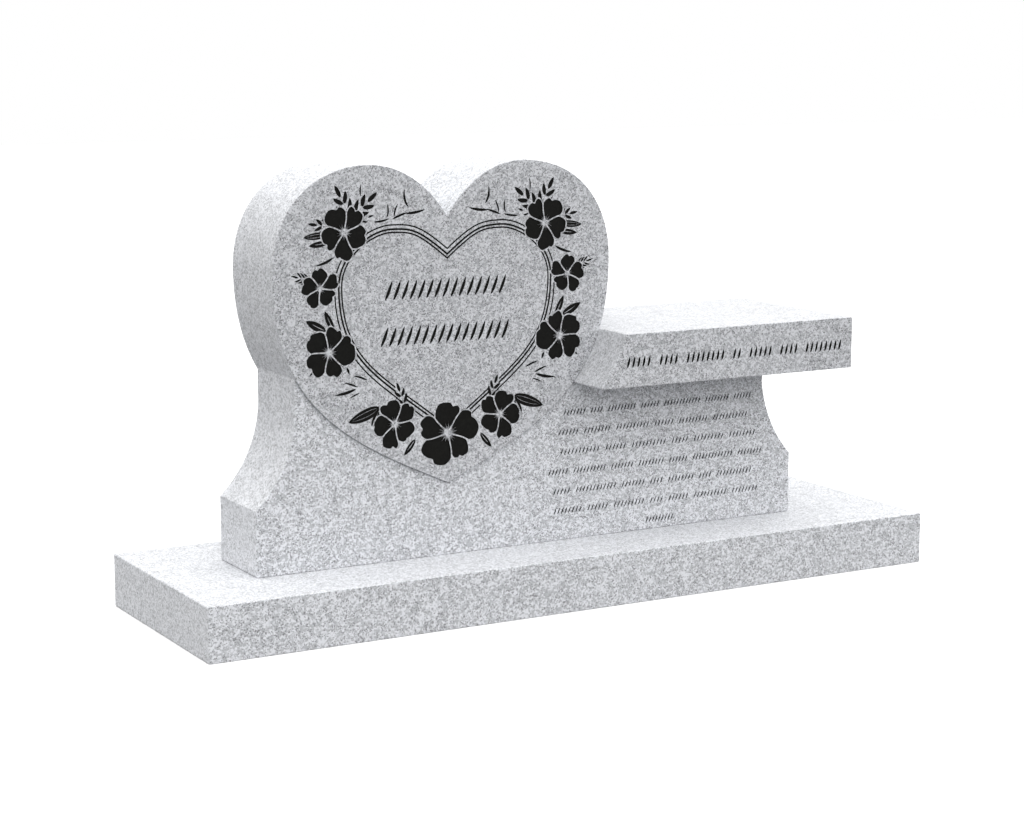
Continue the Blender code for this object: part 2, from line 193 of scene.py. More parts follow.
# Corners of an outline that turn by more than this are eased, and edges above this angle stay sharp.
LEAST_TURN = math.radians(25)
SHARP_EDGE = math.radians(35)
# Points nearer than this are one, levels are counted in these steps, a place has this many of them,
# and a wall has at most this many corners.
SAME_POINT = 1e-6
SAME_LEVEL = 1e-7
LEVELS = 1 << 24
MOST_WALL_CORNERS = 16


def unit(vector):
    """Vectors of length one along the last axis."""
    return vector / np.linalg.norm(vector, axis=-1, keepdims=True)


def left_of(vector):
    """Vectors turned a quarter turn anticlockwise."""
    return np.stack([-vector[..., 1], vector[..., 0]], axis=-1)


def turned(points, angle):
    """Points turned anticlockwise about the origin."""
    cos, sin = np.cos(angle), np.sin(angle)
    x, z = points[..., 0], points[..., 1]
    return np.stack([x * cos - z * sin, x * sin + z * cos], axis=-1)


def on_rays(reach, angle):
    """Points at given distances and directions from the origin."""
    return np.stack([reach * np.cos(angle), reach * np.sin(angle)], axis=-1)


def anticlockwise(loop):
    """The loop in the order that has its inside on the left."""
    ahead = np.roll(loop, -1, axis=0)
    area = (loop[:, 0] * ahead[:, 1] - loop[:, 1] * ahead[:, 0]).sum()
    return loop if area > 0 else loop[::-1]


def inset(loop, distance):
    """An anticlockwise loop moved inwards: each point goes along the mitre of its two sides."""
    side = left_of(unit(np.roll(loop, -1, axis=0) - loop))
    before = np.roll(side, 1, axis=0)
    mitre = (side + before) / (1 + (side * before).sum(axis=1, keepdims=True))
    return loop + distance * mitre


def moved_in(edge, distance):
    """A heart's edge moved inwards, without the points that cross its middle line at the tip."""
    line = inset(edge, distance)
    return line[(edge[:, 0] * line[:, 0] > 0) | (np.abs(edge[:, 0]) < SAME_POINT)]


def eased(loop, radius, steps=4):
    """A loop whose sharp corners are arcs that touch both sides of the corner."""
    into = unit(loop - np.roll(loop, 1, axis=0))
    out = np.roll(into, -1, axis=0)
    turn = np.arctan2((left_of(into) * out).sum(axis=1), (into * out).sum(axis=1))
    count = np.where(np.abs(turn) > LEAST_TURN, steps + 1, 1)
    corner = np.repeat(np.arange(len(loop)), count)
    step = np.arange(count.sum()) - np.repeat(np.cumsum(count) - count, count)
    start = loop - into * radius * np.tan(np.abs(turn) / 2)[:, None]
    centre = start + left_of(into) * np.copysign(radius, turn)[:, None]
    arc = centre[corner] + turned(start[corner] - centre[corner], turn[corner] * step / steps)
    return np.where((count > 1)[corner, None], arc, loop[corner])


def bezier(controls, steps):
    """A cubic curve's points at even shares of its run, without its last point."""
    t = np.linspace(0, 1, steps, endpoint=False)[:, None]
    a, b, c, d = np.asarray(controls, float)
    return (1 - t) ** 3 * a + 3 * (1 - t) ** 2 * t * b + 3 * (1 - t) * t**2 * c + t**3 * d


def heart(width, height, cleft, curves=STONE_CURVES, steps=48):
    """A closed heart about x = 0 with its tip at z = 0: three cubic curves a side, mirrored."""
    size = np.array([width / 2, height])
    bottom = (0, 1 - cleft / height)
    rows = (*curves[:2], (*curves[2], bottom))
    right = np.concatenate([*(bezier(size * row, steps) for row in rows), [size * bottom]])
    return np.concatenate([right, right[-2:0:-1] * (-1, 1)])


def sweep(waist_x, foot_x, foot_top, height, steps=28):
    """The pedestal's hollow end: an arc from the foot's top up to the waist, upright there."""
    reach = abs(foot_x - waist_x)
    radius = (reach**2 + height**2) / (2 * reach)
    turns = np.linspace(math.asin(height / radius), 0, steps + 1)
    x = waist_x + math.copysign(radius, foot_x - waist_x) * (1 - np.cos(turns))
    return np.stack([x, foot_top + height - radius * np.sin(turns)], axis=1)


def petal(radius, start, end, gap, phase):
    """A petal about its blossom's middle, between two directions.

    Its rim is a circle that falls away towards both corners, with one shallow notch and slow waves,
    and its reach varies with the phase. Its sides keep a gap to their neighbours. Its inner edge
    zigzags between the eye and the ends of the rays. The whole petal turns a little with its reach,
    by a sine.
    """
    turn = np.linspace(-1, 1, RIM_POINTS)
    notch = NOTCH_DEPTH * np.exp(-(((turn - NOTCH_WANDER * np.sin(phase)) / NOTCH_WIDTH) ** 2))
    ripple = WAVE * np.cos(5 * turn + phase) + FINE_WAVE * np.sin(9 * turn + 2 * phase)
    own = 1 + PETAL_CHANGE * np.sin(1.7 * phase)
    rim = radius * (own - CORNER_FALL * np.abs(turn) ** 3.5 - notch + ripple)
    side = radius * np.linspace(0.70, 0.20, SIDE_POINTS)
    eye = radius * EYE
    across = np.linspace(1, -1, len(eye))
    reach = np.concatenate([rim, side, eye, side[::-1]])
    share = np.concatenate([turn, np.ones(SIDE_POINTS), across, -np.ones(SIDE_POINTS)])
    spread = (end - start) / 2 - gap / 2 / reach
    swirl = SWIRL * np.sin(4 * reach / radius)
    return on_rays(reach, (start + end) / 2 + spread * share + swirl)


def blossom(centre, radius, first, gap):
    """The petals of one blossom, and a halo that keeps the border's lines and the leaves off them.

    The directions between petals are even fifths, each moved a little by a sine.
    """
    turns = 2 * math.pi / PETALS * np.arange(PETALS + 1)
    between = math.radians(first) + turns + UNEVEN * np.sin(2 * turns)
    petals, rims = [], []
    for k in range(PETALS):
        start, end, phase = between[k], between[k + 1], 2.3 * k + first
        petals.append(centre + petal(radius, start, end, gap, phase))
        rims.append(centre + petal(radius + gap, start, end, 0, phase)[:RIM_POINTS])
    return petals, np.concatenate(rims)


def blade(root, length, direction, width, bend=0.0, steps=12):
    """A lens on an arc: its half width rises fast from the root and falls slowly to the tip."""
    share = np.linspace(0, 1, steps + 1)
    heading = direction + bend * (share[:-1] - 0.5)
    line = np.concatenate([[(0.0, 0.0)], np.cumsum(on_rays(length / steps, heading), axis=0)])
    half = width * 1.05 * share**0.6 * (1 - share) ** 0.75
    off = half[:, None] * left_of(on_rays(1.0, direction + bend * (share - 0.5)))
    return np.asarray(root) + np.concatenate([line - off, (line + off)[-2:0:-1]])


def reach_to(root, tip):
    """The length and direction from a root to a tip."""
    x, z = np.subtract(tip, root)
    return math.hypot(x, z), math.atan2(z, x)


def leaf(root, tip, width, line):
    """A broad leaf: its outline, the lines left standing in it, and its clearance.

    A large leaf's lines are a slender lens and a smaller one in it, with the stone between them
    left, and a small leaf's line is a midrib. The clearance is a tenth longer at both ends.
    """
    length, direction = reach_to(root, tip)
    way = on_rays(1.0, direction)
    wide = width * length
    start = root + LINES_START * length * way
    if length > LARGE_LEAF:
        breadths = LENS_BREADTH * wide + line, LENS_BREADTH * wide
        lines = [blade(start, LENS_LENGTH * length, direction, breadth, LEAF_BEND) for breadth in breadths]
    else:
        lines = [blade(start, MIDRIB_LENGTH * length, direction, line, LEAF_BEND)]
    clear = blade(root - 0.1 * length * way, 1.2 * length, direction, wide + 3 * line)
    return blade(root, length, direction, wide, LEAF_BEND), lines, clear


def twig(root, tip, pairs, line):
    """A feathered twig: leaflets in pairs beside a fine stem and one at its end, and its clearance.

    The pairs sit at even steps along the stem and shorten towards the tip, and a leaflet is as wide
    as the step leaves room for.
    """
    length, direction = reach_to(root, tip)
    way = on_rays(1.0, direction)
    end = END_LEAFLET * length
    wide = PAIRS_BREADTH * length / max(pairs, 2)
    leaflets = [blade(tip - end * way, end, direction, wide)]
    for k in range(pairs):
        share = (k + 0.15) / pairs
        reach = length * (ROOT_LEAFLET - LEAFLET_LOSS * share)
        for side in (-1, 1):
            at = root + (PAIRS_RUN * share * length) * way + 0.5 * line * side * left_of(way)
            heading = direction + side * LEAFLET_SPREAD
            leaflets.append(blade(at, reach, heading, wide, -side * LEAFLET_BEND))
    leaflets.append(blade(root - 0.06 * length * way, 0.66 * length, direction, 0.5 * line))
    clear = blade(root - 0.05 * length * way, 1.12 * length, direction, 0.44 * length)
    return leaflets, clear


def stroke_row(left, right, level, groups, tall, width, lean):
    """A row of slanting lens strokes that stand apart, centred on one level and all as tall.

    The strokes and the spaces between groups share the row's length evenly.
    """
    cell = (right - left) / (sum(groups) + GROUP_SPACE * (len(groups) - 1))
    group = np.repeat(np.arange(len(groups)), groups)
    order = np.arange(len(group))
    x = left + cell * (order + 0.5 + GROUP_SPACE * group)
    turn = math.atan2(1, lean)
    reach = tall / math.sin(turn)
    foot = np.stack([x, np.full(len(x), level)], axis=1) - reach / 2 * on_rays(1.0, turn)
    return [blade(at, reach, turn, width, STROKE_BEND) for at in foot]


class Drawing:
    """Closed outlines on one face, each under a name, for one triangulation."""

    def __init__(self):
        self.loops = []
        self.names = []

    def add(self, name, loops):
        """Adds closed outlines under a name."""
        self.loops += [anticlockwise(loop) for loop in loops]
        self.names += [name] * len(loops)

    def triangulate(self):
        """The points, the triangles and how many outlines of each name every triangle lies in."""
        ends = np.cumsum([len(loop) for loop in self.loops])
        faces = [list(range(end - len(loop), end)) for end, loop in zip(ends, self.loops)]
        points = np.concatenate(self.loops).tolist()
        flat, _, triangles, _, _, holders = delaunay_2d_cdt(points, [], faces, 1, SAME_POINT, True)
        sizes = np.fromiter(map(len, holders), int, len(holders))
        held_by = np.fromiter(itertools.chain.from_iterable(holders), int, sizes.sum())
        triangle = np.repeat(np.arange(len(holders)), sizes)
        names = np.array(self.names)
        inside = {
            name: np.bincount(triangle[names[held_by] == name], minlength=len(holders))
            for name in dict.fromkeys(self.names)
        }
        return np.array(flat, float), np.array(triangles), inside


def distance_to(points, loop):
    """Each point's distance from a closed loop."""
    along = np.roll(loop, -1, axis=0) - loop
    length = (along**2).sum(axis=1)
    nearest = np.full(len(points), np.inf)
    for part in np.array_split(np.arange(len(loop)), max(1, len(loop) // 64)):
        start = points[:, None] - loop[part]
        share = np.clip((start * along[part]).sum(axis=2) / length[part], 0, 1)
        gap = np.linalg.norm(start - share[..., None] * along[part], axis=2)
        nearest = np.minimum(nearest, gap.min(axis=1))
    return nearest


def arris_rings(loop, radius, steps=3):
    """The outline and the loops inside it that a rounded edge needs, at even turns of its arc."""
    turns = np.linspace(0, math.pi / 2, steps + 1)
    return [inset(loop, radius * (1 - math.cos(turn))) for turn in turns]


def stone_sheet(drawing, grounds, side, carving):
    """One face of a stone: points, triangles, and levels, edge shares and finishes for them.

    A ground is a name, its outline, how far its face is from the middle, its arris and its finish;
    the first that holds a triangle has it. Near its outline a ground falls away as a quarter circle.
    """
    flat, triangles, inside = drawing.triangulate()
    level = np.zeros(triangles.shape)
    edge = np.zeros(triangles.shape)
    finish = np.zeros(len(triangles), int)
    free = np.ones(len(triangles), bool)
    for name, loop, half, arris, ground_finish in grounds:
        here = free & (inside[name] > 0)
        left = np.clip(1 - distance_to(flat, loop) / arris, 0, 1)[triangles[here]]
        level[here] = half - arris * (1 - np.sqrt(1 - left**2))
        edge[here] = left
        finish[here] = ground_finish
        free &= ~here
    depth, filled = carving(inside)
    level -= depth[:, None]
    finish[filled] = FILLED
    held = np.flatnonzero(~free)[:, None]
    order = [0, 1, 2] if side < 0 else [2, 1, 0]
    return flat, triangles[held, order], side * level[held, order], edge[held, order], finish[~free]


def twins(start, end, other_start, other_end, count):
    """For each directed edge, the number of the one that runs the other way, or -1."""
    codes = other_end * count + other_start
    order = np.argsort(codes)
    wanted = start * count + end
    found = order[np.searchsorted(codes, wanted, sorter=order).clip(0, len(codes) - 1)]
    return np.where(codes[found] == wanted, found, -1)


def walls(a, b, c, d):
    """Faces that close the steps from edges a-b to their twins c-d, and how many corners each has.

    The points of one place are numbered upwards by level, so a face takes in every point between.
    """
    ones = np.ones_like(a)
    starts = np.stack([b, a, c, d], axis=1).ravel()
    steps = np.stack([ones, np.sign(c - a), ones, np.sign(b - d)], axis=1).ravel()
    lengths = np.stack([ones, np.abs(c - a), ones, np.abs(b - d)], axis=1)
    sizes, lengths = lengths.sum(axis=1), lengths.ravel()
    along = np.arange(lengths.sum()) - np.repeat(np.cumsum(lengths) - lengths, lengths)
    return np.repeat(starts, lengths) + np.repeat(steps, lengths) * along, sizes


def closed_stone(name, front, back, rim_finish, replaced, slot, materials):
    """A closed stone from a front and a back sheet that share their outline.

    Corners at one place and level are one point, and triangles with two corners at one place are left
    out. A wall closes each edge whose two triangles differ in level, and each edge of the outline
    from front to back.
    """
    flat = np.concatenate([front[0], back[0]])
    rounded = np.round(flat / SAME_POINT).astype(np.int64)
    _, first, place = np.unique(rounded, axis=0, return_index=True, return_inverse=True)
    flat, place = flat[first], place.reshape(-1)
    corner_place = np.concatenate([place[front[1]], place[back[1] + len(front[0])]])
    kept = (corner_place != np.roll(corner_place, 1, axis=1)).all(axis=1)
    corner_place = corner_place[kept]
    corner_level = np.round(np.concatenate([front[2], back[2]])[kept] / SAME_LEVEL).astype(np.int64)
    codes, number = np.unique(corner_place * LEVELS + corner_level + LEVELS // 2, return_inverse=True)
    number = number.reshape(-1, 3)
    here, ahead = number.reshape(-1), np.roll(number, -1, axis=1).reshape(-1)
    start, end = corner_place.reshape(-1), np.roll(corner_place, -1, axis=1).reshape(-1)
    finish = np.concatenate([front[4], back[4]])[kept]
    side = np.repeat(np.repeat([0, 1], [len(front[1]), len(back[1])])[kept], 3)
    one, two = start * 2 + side, end * 2 + side
    twin = twins(one, two, one, two, 2 * len(flat))
    step = np.flatnonzero((twin >= 0) & (start < end))
    step = step[(here[step] != ahead[twin[step]]) | (ahead[step] != here[twin[step]])]
    other = twin[step]
    step_ring, step_size = walls(here[step], ahead[step], ahead[other], here[other])
    step_finish = np.maximum(finish[step // 3], finish[other // 3])
    rim, far = (np.flatnonzero((twin < 0) & (side == which)) for which in (0, 1))
    across = far[twins(start[rim], end[rim], start[far], end[far], len(flat))]
    rim_ring, rim_size = walls(here[rim], ahead[rim], ahead[across], here[across])

    if max(step_size.max(initial=0), rim_size.max()) > MOST_WALL_CORNERS:
        raise RuntimeError(f"a wall of {name} joins points of different places")
    corners = np.concatenate([here, step_ring, rim_ring])
    sizes = np.concatenate([np.full(len(number), 3), step_size, rim_size])
    finishes = np.concatenate([finish, step_finish, np.full(len(rim), rim_finish)])
    where = flat[codes // LEVELS]
    depth = (codes % LEVELS - LEVELS // 2) * SAME_LEVEL
    edge = np.zeros(len(codes))
    edge[here] = np.concatenate([front[3], back[3]])[kept].reshape(-1)
    mesh = bpy.data.meshes.new(name)
    mesh.vertices.add(len(codes))
    mesh.loops.add(len(corners))
    mesh.polygons.add(len(sizes))
    mesh.vertices.foreach_set("co", np.stack([where[:, 0], depth, where[:, 1]], axis=1).ravel())
    mesh.loops.foreach_set("vertex_index", corners.astype(np.int32))
    mesh.polygons.foreach_set("loop_start", (np.cumsum(sizes) - sizes).astype(np.int32))
    mesh.polygons.foreach_set("material_index", finishes.astype(np.int32))
    mesh.update(calc_edges=True)
    mesh.attributes.new("edge", "FLOAT", "POINT").data.foreach_set("value", edge.astype(np.float32))
    mesh.shade_smooth()
    mesh.set_sharp_from_angle(angle=SHARP_EDGE)
    piece = bpy.data.objects.new(name, mesh)
    bpy.context.scene.collection.objects.link(piece)
    for material in materials:
        mesh.materials.append(material)
    steady = piece.modifiers.new("steady_faces", "WEIGHTED_NORMAL")
    steady.keep_sharp = True
    steady.weight = 90
    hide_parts(replaced)
    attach(piece, "root")
    return piece


def node(tree, kind, inputs=(), **settings):
    """A node with its settings; inputs pair a socket's name or number with a value or a socket."""
    made = tree.nodes.new(kind)
    for name, value in settings.items():
        setattr(made, name, value)
    for socket, value in dict(inputs).items():
        if isinstance(value, bpy.types.NodeSocket):
            tree.links.new(value, made.inputs[socket])
        else:
            made.inputs[socket].default_value = value
    return made


def node_group(name, inputs, outputs):
    """A shader node group with the named sockets, and the sockets at its two ends."""
    tree = bpy.data.node_groups.new(name, "ShaderNodeTree")
    for label, kind in inputs.items():
        tree.interface.new_socket(label, in_out="INPUT", socket_type=kind)
    for label, kind in outputs.items():
        tree.interface.new_socket(label, in_out="OUTPUT", socket_type=kind)
    return tree, tree.nodes.new("NodeGroupInput").outputs, tree.nodes.new("NodeGroupOutput").inputs


def mixed(tree, share, first, second):
    """The colour between two colours at a share."""
    return node(tree, "ShaderNodeMix", {0: share, 6: first, 7: second}, data_type="RGBA").outputs[2]


def ranged(tree, value, low, high, to_low=0.0, to_high=1.0):
    """A value taken from one range to another and kept inside it."""
    ends = {"From Min": low, "From Max": high, "To Min": to_low, "To Max": to_high}
    return node(tree, "ShaderNodeMapRange", {"Value": value, **ends}).outputs[0]


def maths(tree, operation, *values):
    """One sum of two or three values."""
    return node(tree, "ShaderNodeMath", dict(enumerate(values)), operation=operation).outputs[0]


def vector_maths(tree, operation, inputs):
    """One sum of vectors."""
    return node(tree, "ShaderNodeVectorMath", inputs, operation=operation).outputs[0]


def granite_grain():
    """Interlocked crystals: pale feldspar, grey quartz and black mica, with slow clouding.

    Cells of the grain size, their walls warped by noise, each take one of the pale colours. Cells
    of half the size turn dark where their own random number is high, more so in darker clouds.
    """
    vector, number, shade = "NodeSocketVector", "NodeSocketFloat", "NodeSocketColor"
    inputs = {"Vector": vector, "Grain Size": number, "Feldspar": shade, "Quartz": shade, "Mica": shade}
    tree, given, result = node_group("granite_grain", inputs, {"Colour": shade, "Crystal": number})
    per_metre = maths(tree, "DIVIDE", 1.0, given["Grain Size"])
    scaled = vector_maths(tree, "SCALE", {0: given["Vector"], "Scale": per_metre})
    noise = node(tree, "ShaderNodeTexNoise", {"Vector": scaled, "Scale": 0.9, "Detail": 2.0})
    shift = vector_maths(tree, "SUBTRACT", {0: noise.outputs["Color"], 1: (0.5, 0.5, 0.5)})
    bent = vector_maths(tree, "MULTIPLY_ADD", {0: shift, 1: (1.1, 1.1, 1.1), 2: scaled})
    large = node(tree, "ShaderNodeTexVoronoi", {"Vector": bent, "Scale": 1.0})
    small = node(tree, "ShaderNodeTexVoronoi", {"Vector": bent, "Scale": 1.9})
    crystal = node(tree, "ShaderNodeSeparateColor", {"Color": large.outputs["Color"]}).outputs
    speck = node(tree, "ShaderNodeSeparateColor", {"Color": small.outputs["Color"]}).outputs
    cloud = node(tree, "ShaderNodeTexNoise", {"Vector": scaled, "Scale": 0.16, "Detail": 3.0})
    darker = maths(tree, "MULTIPLY_ADD", cloud.outputs["Fac"], CLOUDING, -CLOUDING / 2)
    mica = ranged(tree, maths(tree, "ADD", speck[0], darker), *MICA_SHARES)
    quartz = ranged(tree, maths(tree, "ADD", crystal[0], darker), *QUARTZ_SHARES)
    body = mixed(tree, quartz, given["Feldspar"], given["Quartz"])
    tree.links.new(mixed(tree, mica, body, given["Mica"]), result["Colour"])
    tree.links.new(crystal[1], result["Crystal"])
    return tree


def edge_wear():
    """A broken mask along the arrises: the mesh's edge share, cut up by fine noise."""
    tree, given, result = node_group(
        "edge_wear", {"Vector": "NodeSocketVector", "Edge": "NodeSocketFloat"}, {"Mask": "NodeSocketFloat"}
    )
    noise = node(tree, "ShaderNodeTexNoise", {"Vector": given["Vector"], "Scale": 260.0, "Detail": 3.0})
    broken = ranged(tree, noise.outputs["Fac"], 0.35, 0.65)
    tree.links.new(maths(tree, "MULTIPLY", given["Edge"], broken), result["Mask"])
    return tree


def principled(name):
    """A new material, its node tree, its shader's inputs and its Object coordinates."""
    material = bpy.data.materials.new(name)
    material.use_nodes = True
    tree = material.node_tree
    place = node(tree, "ShaderNodeTexCoord").outputs["Object"]
    return material, tree, tree.nodes["Principled BSDF"].inputs, place


def granite(name, grain_group, wear_group, look, tint, smooth, rough, bump, gloss):
    """Granite with one surface finish: grain colour, edge wear, roughness by crystal and fine relief."""
    _, tree, shader, place = principled(name)
    tinted = {
        label: (*(shade * tint for shade in colour), 1)
        for label, colour in (("Feldspar", look.feldspar), ("Quartz", look.quartz), ("Mica", look.mica))
    }
    given = {"Vector": place, "Grain Size": look.grain_size, **tinted}
    grain = node(tree, "ShaderNodeGroup", given, node_tree=grain_group).outputs
    share = node(tree, "ShaderNodeAttribute", attribute_name="edge").outputs["Fac"]
    wear = node(tree, "ShaderNodeGroup", {"Vector": place, "Edge": share}, node_tree=wear_group)
    worn = maths(tree, "MULTIPLY", wear.outputs["Mask"], 0.55)
    bruised = (0.80 * tint, 0.81 * tint, 0.83 * tint, 1)
    tree.links.new(mixed(tree, worn, grain["Colour"], bruised), shader["Base Color"])
    by_crystal = ranged(tree, grain["Crystal"], 0.0, 1.0, smooth, rough)
    tree.links.new(maths(tree, "MULTIPLY_ADD", worn, 0.3, by_crystal), shader["Roughness"])
    fine = node(tree, "ShaderNodeTexNoise", {"Vector": place, "Scale": 900.0, "Detail": 2.0})
    height = maths(tree, "ADD", fine.outputs["Fac"], grain["Crystal"])
    relief = node(tree, "ShaderNodeBump", {"Height": height, "Strength": bump, "Distance": 0.0002})
    tree.links.new(relief.outputs["Normal"], shader["Normal"])
    shader["Specular IOR Level"].default_value = gloss


def carving_fill(look):
    """Near-black filler brushed into the carving: uneven sheen and a faint grain under it."""
    _, tree, shader, place = principled("carving_fill")
    streaks = node(tree, "ShaderNodeTexNoise", {"Vector": place, "Scale": 320.0, "Detail": 4.0})
    noise = streaks.outputs["Fac"]
    lighter = (*(shade * 2.2 for shade in look.fill), 1)
    share = ranged(tree, noise, 0.40, 0.75)
    tree.links.new(mixed(tree, share, (*look.fill, 1), lighter), shader["Base Color"])
    tree.links.new(ranged(tree, noise, 0.3, 0.7, 0.45, 0.62), shader["Roughness"])
    shader["Specular IOR Level"].default_value = 0.12
    relief = node(tree, "ShaderNodeBump", {"Height": noise, "Strength": 0.4, "Distance": 0.0003})
    tree.links.new(relief.outputs["Normal"], shader["Normal"])


def finishes():
    """The finishes, made once: polished, honed and steeled granite, and carving fill."""
    if "carving_fill" not in bpy.data.materials:
        look = bpy.context.scene.headstone_granite
        groups = granite_grain(), edge_wear()
        polished = {"tint": look.polished_tint, "smooth": 0.16, "rough": 0.26, "bump": 0.05, "gloss": 0.35}
        honed = {"tint": look.honed_tint, "smooth": 0.34, "rough": 0.48, "bump": 0.2, "gloss": 0.2}
        steeled = {"tint": 1.0, "smooth": 0.42, "rough": 0.60, "bump": 0.5, "gloss": 0.15}
        for name, finish in zip(FINISHES, (polished, honed, steeled)):
            granite(name, *groups, look, **finish)
        carving_fill(look)
    return [bpy.data.materials[name] for name in FINISHES]


def stone_outlines(sizes):
    """The outlines of the heart and of the pedestal, anticlockwise with eased corners.

    The pedestal has a straight foot at each end, hollow sweeps and a shelf, and ends in the heart.
    """
    outline = heart(sizes.heart_width, sizes.heart_height, sizes.heart_cleft) + HEART_TIP
    low, left, right = STONE_LOW[2], STONE_LOW[0], STONE_HIGH[0]
    foot_top, shelf = low + FOOT_HEIGHT, low + PEDESTAL_HEIGHT
    inside = HEART_TIP[1] + STONE_CURVES[0][3][1] * sizes.heart_height
    waist_left, waist_right = left + HEART_FOOT_REACH, right - SEAT_FOOT_REACH
    pedestal = np.concatenate(
        [
            [(left, low), (right, low)],
            sweep(waist_right, right, foot_top, SWEEP_HEIGHT),
            [(waist_right, shelf), (HEART_TIP[0], shelf), (HEART_TIP[0], inside), (waist_left, inside)],
            sweep(waist_left, left, foot_top, SWEEP_HEIGHT)[::-1],
        ]
    )
    return eased(outline, 2 * sizes.arris), eased(pedestal, 2 * sizes.arris)


def wreath(sizes):
    """Outlines of the wreath and the border about the heart's middle line and tip, by name."""
    size = np.array([sizes.heart_width, sizes.heart_height])
    line = sizes.vein
    right = {"petal": [], "halo": [], "leaf": [], "vein": [], "clear": []}
    for share, radius, first in BLOSSOMS:
        petals, halo = blossom(size * share, radius * size[0], first, sizes.petal_gap)
        right["petal"] += petals
        right["halo"].append(halo)
    for root, tip, pairs in TWIGS:
        leaflets, clear = twig(size * root, size * tip, pairs, line)
        right["leaf"] += leaflets
        right["clear"].append(clear)
    for root, tip, width in LEAVES:
        shape, lines, clear = leaf(size * root, size * tip, width, line)
        right["leaf"].append(shape)
        right["vein"] += lines
        right["clear"].append(clear)
    for root, tip, bend in BLADES:
        reach, turn = reach_to(size * root, size * tip)
        right["leaf"].append(blade(size * root, reach, turn, BLADE_BREADTH * reach, math.radians(bend)))
    made = {name: shapes + [shape * (-1, 1) for shape in shapes] for name, shapes in right.items()}
    share, radius, first = TIP_BLOSSOM
    petals, halo = blossom(size * share, radius * size[0], first, sizes.petal_gap)
    made["petal"] += petals
    made["halo"].append(halo)
    width, height, cleft, tip = BORDER_SHARES
    edge = heart(width * size[0], height * size[1], cleft * size[1], BORDER_CURVES) + (0, tip * size[1])
    made["border"] = [moved_in(edge, at) for start, wide in BORDER_LINES for at in (start, start + wide)]
    return made


def heart_carving(sizes):
    """A function that says how deep each triangle of the front is carved, and whether it is filled.

    Petals are carved all over, leaves where no petal's halo is and an even number of their lines'
    outlines, and the border's lines where an odd number of its outlines holds the triangle and no
    leaf is near. The quirk is the narrow ring of the pedestal along the heart's edge.
    """

    def carving(inside):
        off_petals = inside["halo"] == 0
        leaf = (inside["leaf"] > 0) & (inside["vein"] % 2 == 0) & off_petals
        border = (inside["border"] % 2 == 1) & off_petals & (inside["clear"] == 0)
        deep = (inside["petal"] > 0) | leaf | (inside["large_strokes"] > 0)
        fine = border | (inside["small_strokes"] > 0)
        quirk = (inside["quirk"] > 0) & (inside["heart"] == 0)
        cuts = [sizes.carving_depth, sizes.line_depth, sizes.quirk]
        return np.select([deep, fine, quirk], cuts, 0.0), deep | fine

    return carving


def back_carving(sizes):
    """A function that says the same of the back, which has the quirk alone."""

    def carving(inside):
        quirk = (inside["quirk"] > 0) & (inside["heart"] == 0)
        return np.where(quirk, sizes.quirk, 0.0), np.zeros(len(quirk), bool)

    return carving


def uncarved(inside):
    """No carving and no filler."""
    count = len(next(iter(inside.values())))
    return np.zeros(count), np.zeros(count, bool)


def make_heart_and_pedestal(sizes):
    """The heart and pedestal, one stone: the heart proud front and back, the wreath cut in its front."""
    outline, pedestal = stone_outlines(sizes)
    half, arris = STONE_HIGH[1], sizes.arris
    low_half = half - sizes.heart_proud
    grounds = (("heart", outline, half, arris, POLISHED), ("pedestal", pedestal, low_half, arris, STEELED))
    front, back = Drawing(), Drawing()
    for drawing in (front, back):
        for name, loop, *_ in grounds:
            drawing.add(name, arris_rings(loop, arris))
        drawing.add("quirk", [inset(outline, -sizes.quirk)])
    for name, shapes in wreath(sizes).items():
        front.add(name, [shape + HEART_TIP for shape in shapes])
    for row in HEART_ROWS:
        strokes = stroke_row(*row, sizes.large_stroke, HEART_BREADTH, ROW_LEAN)
        front.add("large_strokes", [stroke + HEART_TIP for stroke in strokes])
    for number, (left, right, groups) in enumerate(PEDESTAL_ROWS):
        level = FIRST_ROW - ROW_PITCH * number
        row = left, right, level, groups, sizes.small_stroke, PEDESTAL_BREADTH, ROW_LEAN
        front.add("small_strokes", stroke_row(*row))
    sheets = (
        stone_sheet(front, grounds, -1, heart_carving(sizes)),
        stone_sheet(back, grounds, 1, back_carving(sizes)),
    )
    return closed_stone("heart_stone", *sheets, STEELED, "heart_and_pedestal", "heart_granite", finishes())


def make_seat_slab(sizes):
    """The seat slab: its near end follows the heart's side, its front has one row of strokes.

    The first third of a heart's points run from its tip upwards round its side.
    """
    around = heart(sizes.heart_width, sizes.heart_height, sizes.heart_cleft)
    flank = inset(around, -BED_GAP)[:len(around) // 3] + HEART_TIP
    low, high, end = SEAT_LOW[2], SEAT_HIGH[2], SEAT_HIGH[0]
    foot, head = np.interp([low, high], flank[:, 1], flank[:, 0])
    between = flank[(flank[:, 1] > low + CORNER_ROOM) & (flank[:, 1] < high - CORNER_ROOM)]
    outline = np.concatenate([[(foot, low), (end, low), (end, high), (head, high)], between[::-1]])
    outline = eased(outline, 2 * sizes.arris)
    grounds = (("seat", outline, SEAT_HIGH[1], sizes.arris, HONED),)
    front, back = Drawing(), Drawing()
    for drawing in (front, back):
        drawing.add("seat", arris_rings(outline, sizes.arris))
    front.add("strokes", stroke_row(*SEAT_ROW, sizes.seat_stroke, SEAT_BREADTH, SEAT_LEAN))

    def carving(inside):
        filled = inside["strokes"] > 0
        return np.where(filled, sizes.carving_depth, 0.0), filled

    sheets = stone_sheet(front, grounds, -1, carving), stone_sheet(back, grounds, 1, uncarved)
    return closed_stone("seat_stone", *sheets, HONED, "seat_slab", "seat_granite", finishes())


